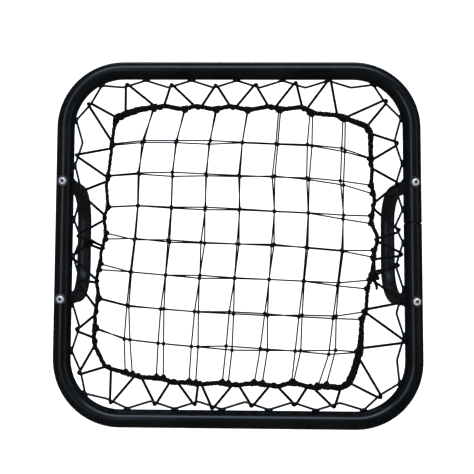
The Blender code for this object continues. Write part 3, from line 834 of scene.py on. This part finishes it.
def cord_mesh(name, points, narrow_ends=False):
    """Elastic cord with a little of its braid in its outline."""
    line = softened(spaced(points, 0.0009), 3)
    ends = rounded_ends(line, CORD_RADIUS) if narrow_ends else np.ones(len(line))

    def ridged(lengths, around):
        turned = lengths * TURN * 4 / 0.011
        braid = np.sin(4 * around + turned) * np.sin(4 * around - turned)
        return (CORD_RADIUS + 0.00006 * braid) * ends[:, None]

    return sweep(name, line, CORD_RADIUS, 14, shape=ridged)


def add_lace(name, points, node, material):
    """A stretch of lacing, made from the given points and left where it lies."""
    lace = finish_object(name, cord_mesh(name, points), material, sharp=70)
    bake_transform(lace)
    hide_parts(node)


def middle_of(points):
    return sum(points, Vector()) / len(points)


def lace_span(hook, rope_points_near):
    """Where a lace stops going with the rod and starts going with the rope."""
    rod_side = middle_of(hook)
    heading = middle_of(rope_points_near) - rod_side
    heading.y = 0
    heading.normalize()
    reach = min((point - rod_side).dot(heading) for point in rope_points_near)
    rod_edge = max((point - rod_side).dot(heading) for point in hook)
    return rod_side + heading * rod_edge, rod_side + heading * reach


def make_lacing(rope, material):
    rods = [rod_path(welds) for welds in rod_welds()]
    left_knot, right_knot = from_middle(*LEFT_KNOT), from_middle(*RIGHT_KNOT)
    for row in range(len(LACES)):
        node = "lower_lacing_cord" if LOWER_CORD_FIRST <= row < UPPER_CORD_FIRST else "upper_lacing_cord"
        hook = hook_over_rod(row, rods)
        start = [right_knot] if row == LOWER_CORD_FIRST else wrap_rope(row, rope, 0.5, 1.0)
        end = [left_knot] if row == UPPER_CORD_FIRST - 1 else wrap_rope(row + 1, rope, 0.0, 0.5)
        rope_ends = [point for group in (start, end) for point in group if len(group) > 1]
        rod_side, rope_side = lace_span(hook, rope_ends)
        add_lace(f"lace_{row:02d}", [*start, *hook, *end], node, material)
    first_wrap = wrap_rope(UPPER_CORD_FIRST, rope, 0.0, 0.5)
    rod_side, rope_side = lace_span([left_knot], first_wrap)
    add_lace("lace_first", [left_knot, *first_wrap], "upper_lacing_cord", material)
    last_wrap = cord_mesh("lace_last", [*wrap_rope(LOWER_CORD_FIRST, rope, 0.5, 1.0), right_knot])
    last = finish_object("lace_last", last_wrap, material, sharp=70)
    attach(last, "net_bed")


def overhand(centre, size, lean):
    """The closed line of an overhand knot, drawn tight."""
    points = []
    for step in range(60):
        angle = TURN * step / 60
        x = math.sin(angle) + 2 * math.sin(2 * angle)
        z = math.cos(angle) - 2 * math.cos(2 * angle)
        y = -1.15 * math.sin(3 * angle)
        points.append(centre + Matrix.Rotation(lean, 3, "Y") @ Vector((x * 0.62, y, z * 0.5)) * size)
    return np.array([tuple(point) for point in points])


def make_tie(name, body, place, tail, lean, material):
    lump = sweep("lump", overhand(from_middle(*place), 0.0032, lean), CORD_RADIUS, 12, closed=True)
    end = cord_mesh("tail", curved([from_middle(x, z, y) for x, z, y in tail]), narrow_ends=True)
    tie = finish_object(f"{name}_finish", joined(name, [lump, end]), material, sharp=70)
    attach(tie, body)
    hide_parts(name)


# Handles and fastenings


def handle_line():
    """A handle's centre line from its lower to its upper foot, at the middle of the tube."""
    foot = GRIP_LOW.y
    reach = HOLE_PITCH / 2
    points = [Vector((0, foot, -reach))]
    for level, first_side, last_side in ((-1, -UP, BACK), (1, BACK, UP)):
        middle = Vector((0, GRIP_DEPTH - HANDLE_BEND, level * (reach - HANDLE_BEND)))
        for step in range(17):
            angle = math.pi / 2 * step / 16
            outward = first_side * math.cos(angle) + last_side * math.sin(angle)
            points.append(middle + outward * HANDLE_BEND)
    points.append(Vector((0, foot, reach)))
    return spaced(points, 0.003)


def handle_mesh(name, place):
    """A moulded bow: an oval section, a collar at each foot and a raised parting line on both sides."""
    line = handle_line() + np.array([tuple(place)])
    total = np.linalg.norm(np.diff(line, axis=0), axis=1).sum()

    def oval(lengths, around):
        half_width, half_thickness = GRIP_WIDTH / 2, GRIP_THICKNESS / 2
        across, through = np.sin(around), np.cos(around)
        power = 2.25
        edge = np.abs(across / half_width) ** power + np.abs(through / half_thickness) ** power
        edge = edge ** (-1 / power)
        parting = 0.00028 * np.exp(-((through / 0.045) ** 2)) * (np.abs(across) > 0.5)
        from_foot = np.minimum(lengths, total - lengths)
        neck = -0.0009 * np.exp(-(((from_foot - 0.0125) / 0.0028) ** 2))
        worn = -0.0002 * (0.5 + 0.5 * np.sin(lengths * 37)) * (from_foot > 0.05)
        return edge - 0.0003 + parting + neck + worn

    return sweep(name, line, GRIP_WIDTH / 2, 48, shape=oval)


def make_handles(material):
    for side_name, side in (("left", -1), ("right", 1)):
        place = Vector((side * RAIL, 0, (GRIP_LOW.z + GRIP_HIGH.z) / 2))
        name = f"{side_name}_handle"
        handle = finish_object(f"{name}_finish", handle_mesh(name, place), material, sharp=60)
        rounding = handle.modifiers.new("soft edges", "BEVEL")
        rounding.width = 0.0007
        rounding.segments = 2
        rounding.limit_method = "ANGLE"
        rounding.angle_limit = math.radians(60)
        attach(handle, "frame")
        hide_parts(name)


def turned_mesh(name, profile, sides):
    """A mesh turned about the Y axis from points of (radius, distance along Y)."""
    bm = bmesh.new()
    points = [bm.verts.new((radius, along, 0)) for radius, along in profile]
    edges = [bm.edges.new(pair) for pair in zip(points, points[1:])]
    if profile[0][0] > 0:
        edges.append(bm.edges.new((points[-1], points[0])))
    bmesh.ops.spin(
        bm, geom=points + edges, cent=(0, 0, 0), axis=(0, 1, 0), dvec=(0, 0, 0), angle=TURN, steps=sides
    )
    bmesh.ops.remove_doubles(bm, verts=bm.verts, dist=1e-7)
    return mesh_from(name, bm)


def arc_profile(centre_radius, centre_along, size, start, end, steps):
    """Points of a rounded edge in a turned profile."""
    points = []
    for step in range(steps + 1):
        angle = math.radians(start + (end - start) * step / steps)
        points.append((centre_radius + size * math.cos(angle), centre_along + size * math.sin(angle)))
    return points


def bolt_head(low, high):
    """A button head on its short length of shank, with a hexagon socket sunk in it."""
    radius = (high.x - low.x) / 2
    height = 0.0032
    dome = []
    for step in range(11):
        angle = math.radians(9 * step)
        dome.append((radius * math.sin(angle), -0.0009 - (height - 0.0009) * math.cos(angle)))
    shank = radius * 0.56
    profile = [*dome, (radius, -0.0004), (radius * 0.96, 0), (shank, 0), (shank, 0.004), (0, 0.004)]
    mesh = turned_mesh("bolt_head", profile, 48)
    head = bpy.data.objects.new("bolt_head", mesh)
    bpy.context.scene.collection.objects.link(head)
    bm = bmesh.new()
    bmesh.ops.create_cone(bm, cap_ends=True, segments=6, radius1=0.0024, radius2=0.0024, depth=0.004)
    bmesh.ops.rotate(bm, verts=bm.verts, cent=(0, 0, 0), matrix=Matrix.Rotation(math.pi / 2, 3, "X"))
    bmesh.ops.translate(bm, verts=bm.verts, vec=(0, -height, 0))
    socket = bpy.data.objects.new("socket_cutter", mesh_from("socket", bm))
    bpy.context.scene.collection.objects.link(socket)
    cut = head.modifiers.new("socket", "BOOLEAN")
    cut.operation = "DIFFERENCE"
    cut.object = socket
    bpy.context.view_layer.update()
    evaluated = head.evaluated_get(bpy.context.evaluated_depsgraph_get())
    shaped = bpy.data.meshes.new_from_object(evaluated)
    bpy.data.objects.remove(head)
    bpy.data.objects.remove(socket)
    # The faces inside the socket take the second, dark material: painted shade in the recess.
    for face in shaped.polygons:
        middle = face.center
        if math.hypot(middle.x, middle.z) < 0.0024 and -height < middle.y < -0.0007:
            face.material_index = 1
    return shaped


def cup_washer(low, high):
    """A cup with a rolled rim and a sunk seat for the bolt's head."""
    radius = (high.x - low.x) / 2
    front = low.y - high.y
    rim = 0.0010
    outer = arc_profile(radius - rim, front + rim, rim, 0, -90, 6)
    inner = arc_profile(radius - 2 * rim, front + rim * 0.9, rim * 0.9, -90, -160, 5)
    base = [(0.0033, 0), (radius - 0.0003, 0), (radius, -0.0004)]
    seat = [(0.0054, -0.0014), (0.0033, -0.0014)]
    profile = [*base, *outer, *inner, *seat]
    return turned_mesh("cup_washer", profile, 56)


def saddle_mesh(low, high):
    """A moulded pad, hollowed round the tube, with a rounded rim against the handle's foot."""
    radius = (high.x - low.x) / 2
    front, back = low.y, high.y
    edge = 0.0009
    rim = arc_profile(radius - edge, back - edge, edge, 0, 90, 5)
    profile = [(0, front), (radius, front), *rim, (0, back)]
    pad = bpy.data.objects.new("pad", turned_mesh("pad", profile, 48))
    bpy.context.scene.collection.objects.link(pad)
    bm = bmesh.new()
    size = TUBE_RADIUS + 0.00015
    bmesh.ops.create_cone(bm, cap_ends=True, segments=64, radius1=size, radius2=size, depth=0.06)
    tool = bpy.data.objects.new("tube_cutter", mesh_from("tube", bm))
    bpy.context.scene.collection.objects.link(tool)
    cut = pad.modifiers.new("tube", "BOOLEAN")
    cut.operation = "DIFFERENCE"
    cut.object = tool
    bpy.context.view_layer.update()
    evaluated = pad.evaluated_get(bpy.context.evaluated_depsgraph_get())
    shaped = bpy.data.meshes.new_from_object(evaluated)
    bpy.data.objects.remove(pad)
    bpy.data.objects.remove(tool)
    return shaped


def add_fastening(node, suffix, mesh, place, material, turn=0.0):
    piece = finish_object(f"{node}_{suffix}", mesh, material, sharp=35)
    piece.location = place
    piece.rotation_euler.y = turn
    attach(piece, "frame")
    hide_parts(node)
    return piece


def make_fastenings(zinc, socket, washer, saddle):
    turns = {"left_upper": 0.5, "left_lower": 0.15, "right_upper": 0.8, "right_lower": 0.35}
    for name, turn in turns.items():
        cup_low, cup_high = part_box(f"{name}_cup_washer")
        middle = (cup_low + cup_high) / 2
        tube_face = Vector((middle.x, cup_high.y, middle.z))
        add_fastening(
            f"{name}_cup_washer", "finish", cup_washer(cup_low, cup_high), tube_face, washer
        )
        bolt_low, bolt_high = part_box(f"{name}_bolt")
        seat = Vector((middle.x, bolt_low.y + 0.0032, middle.z))
        head = add_fastening(
            f"{name}_bolt", "head", bolt_head(bolt_low, bolt_high), seat, zinc, turn
        )
        head.data.materials.append(socket)
        pad_low, pad_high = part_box(f"{name}_handle_saddle")
        axis = Vector((middle.x, 0, middle.z))
        mesh = saddle_mesh(pad_low, pad_high)
        add_fastening(f"{name}_handle_saddle", "finish", mesh, axis, saddle)


def finish_hidden_nodes(steel, brass):
    """CAD nodes that stay as they are, inside the tube and the handles' feet."""
    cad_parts["frame_joint_sleeve"].data.materials.clear()
    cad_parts["frame_joint_sleeve"].data.materials.append(steel)
    for name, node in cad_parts.items():
        if name.endswith("threaded_insert"):
            node.data.materials.clear()
            node.data.materials.append(brass)


# Stage


def make_stage():
    nodes = Nodes("studio_white", (0.93, 0.93, 0.93), 0.9)
    nodes.colour(nodes.noise(1.2, 2.0), [(0.3, 0.925), (0.7, 0.935)])
    nodes.shader.inputs["Emission Color"].default_value = (1, 1, 1, 1)
    nodes.shader.inputs["Emission Strength"].default_value = 0.3
    profile = [(-3.0, 0.0), (1.6, 0.0), (2.3, 0.25), (2.6, 0.9), (2.7, 3.0)]
    depths = curved([Vector((0, along, height)) for along, height in profile], steps=8)
    bm = bmesh.new()
    rows = []
    for side in (-4.0, 4.0):
        rows.append([bm.verts.new((side, point.y, point.z)) for point in depths])
    for first, second in zip(range(len(depths) - 1), range(1, len(depths))):
        bm.faces.new((rows[0][first], rows[1][first], rows[1][second], rows[0][second]))
    floor = finish_object("studio_floor", mesh_from("studio_floor", bm), nodes.material)
    floor.visible_glossy = False


def add_light(name, azimuth, elevation, distance, size, power, colour=(1, 1, 1), in_gloss=True):
    """A soft box that faces the frame. Azimuth is from straight in front, with the right positive."""
    turn, rise = math.radians(azimuth), math.radians(elevation)
    level = math.cos(rise) * distance
    lamp = bpy.data.lights.new(name, "AREA")
    lamp.shape = "RECTANGLE"
    lamp.size, lamp.size_y = size
    lamp.energy = power
    lamp.color = colour
    light = bpy.data.objects.new(name, lamp)
    bpy.context.scene.collection.objects.link(light)
    offset = Vector((math.sin(turn) * level, -math.cos(turn) * level, math.sin(rise) * distance))
    light.location = FRAME_CENTRE + offset
    light.rotation_euler = (FRAME_CENTRE - light.location).to_track_quat("-Z", "Y").to_euler()
    light.visible_glossy = in_gloss


def make_light():
    cool = (0.63, 0.80, 1.0)
    add_light("side_box", -21, 5, 4.0, (0.9, 2.2), 17, cool)
    add_light("far_side_box", 51, 5, 4.0, (0.8, 2.2), 5, cool)
    add_light("overhead_box", 0, 41, 6.0, (5.0, 1.6), 125, cool)
    add_light("rim_box", 0, 104, 4.0, (3.0, 0.7), 10, cool)
    add_light("floor_wash", 0, 85, 2.8, (3.0, 3.0), 60, (1, 1, 1), False)
    world = bpy.data.worlds.new("studio")
    bpy.context.scene.world = world
    world.use_nodes = True
    tree = world.node_tree
    background = tree.nodes["Background"]
    path = tree.nodes.new("ShaderNodeLightPath")
    strength = tree.nodes.new("ShaderNodeMapRange")
    strength.inputs["To Min"].default_value = 0.75
    strength.inputs["To Max"].default_value = 0.04
    tree.links.new(path.outputs["Is Glossy Ray"], strength.inputs["Value"])
    tree.links.new(strength.outputs["Result"], background.inputs["Strength"])
    background.inputs["Color"].default_value = (1, 1, 1, 1)


def make_camera():
    camera = bpy.data.cameras.new("camera")
    camera.lens = 47.31
    camera.shift_x = 0.0570
    camera.sensor_width = 36.0
    view = bpy.data.objects.new("camera", camera)
    bpy.context.scene.collection.objects.link(view)
    view.location = (-0.0230, -0.850, FRAME_CENTRE.z - 0.0404)
    view.rotation_euler = (math.radians(93.218), math.radians(-0.353), math.radians(0.974))
    bpy.context.scene.camera = view
    bpy.context.scene.view_settings.view_transform = "Standard"


def main():
    make_camera()
    coat = powder_coat("powder_coat")
    rod_coat = powder_coat("rod_powder_coat", (0.34, 0.48))
    weld_coat = powder_coat("weld_powder_coat", (0.3, 0.5))
    zinc = bare_metal("bright_zinc", (0.80, 0.80, 0.82), 0.20, 0.34, 0.6)
    # socket_shade is painted shade for the inside of the bolts' hex sockets.
    socket = bare_metal("socket_shade", (0.05, 0.05, 0.055), 0.5, 0.7, 0.3)
    steel = bare_metal("drawn_steel", (0.45, 0.45, 0.44), 0.3, 0.5)
    brass = bare_metal("turned_brass", (0.78, 0.60, 0.28), 0.25, 0.4)
    grip = moulded("handle_plastic", (0.0040, 0.0045, 0.0060), 0.30, 0.42, 1500.0)
    saddle = moulded("saddle_plastic", (0.0035, 0.0035, 0.0040), 0.42, 0.55, 1900.0)
    washer = moulded("washer_plastic", (0.0120, 0.0123, 0.0135), 0.16, 0.24, 2600.0)
    rope_twine = twisted("whipped_rope", (0.0022, 0.0022, 0.0026), 3, 24.0, 0.0006)
    elastic = braided("elastic_cover", (0.0018, 0.0018, 0.0021), 4, 11.0, 0.00025)
    front_twine = twisted("front_twine", (0.0030, 0.0030, 0.0034), 2, 4.0, 0.0002)
    back_twine = twisted("back_twine", (0.0042, 0.0042, 0.0048), 2, 4.0, 0.0002)

    make_tube(coat)
    make_rods(rod_coat, weld_coat)
    rope_route = [from_middle(*point) for point in ROPE_ROUTE]
    rope_line = softened(spaced(rope_route, 0.0009, closed=True), 14, closed=True)
    rope = [Vector(point) for point in rope_line[::6]]
    make_rope(rope_line, rope_twine)
    make_net("front_net", FRONT_KNOTS, FRONT_ENDS, FRONT_NET_LAYER, rope, rope_line, front_twine)
    make_net("back_net", BACK_KNOTS, BACK_ENDS, BACK_NET_LAYER, rope, rope_line, back_twine)
    make_lacing(rope, elastic)
    make_tie("left_tie_knot", "frame", LEFT_KNOT, LEFT_TAIL, 0.4, elastic)
    make_tie("right_tie_knot", "net_bed", RIGHT_KNOT, RIGHT_TAIL, 1.1, elastic)
    make_handles(grip)
    make_fastenings(zinc, socket, washer, saddle)
    finish_hidden_nodes(steel, brass)
    make_stage()
    make_light()


main()
